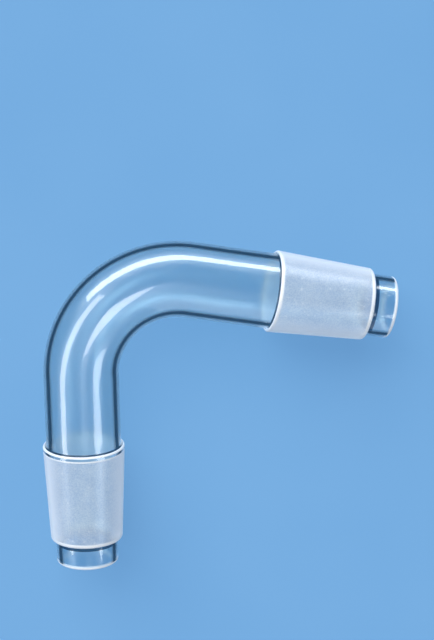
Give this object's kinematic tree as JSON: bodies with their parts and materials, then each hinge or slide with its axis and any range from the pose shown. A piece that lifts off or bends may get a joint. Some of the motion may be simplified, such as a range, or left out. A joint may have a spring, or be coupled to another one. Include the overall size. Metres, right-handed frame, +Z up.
{
  "type": "bent glass adapter",
  "caption": "Clear glass tube turned through a round bend, with a frosted ground taper joint and a short plain drip tip on each leg, for joining lab glassware at an angle.",
  "frame": {"origin": "middle of the bounding box, at its bottom, on the surface that the part lies on", "axes": "+Z up, across the plane of the two legs; -Y along the lower leg, out of its joint; the upper leg runs towards +X, 12 degrees down towards -Y"},
  "size_m": [0.1056, 0.0956, 0.0239],
  "materials": {
    "glass": "clear drawn tube, with the tapers ground to a fine white frost"
  },
  "bodies": {
    "root": {"glass_bend": "glass"}
  },
  "joints": []
}
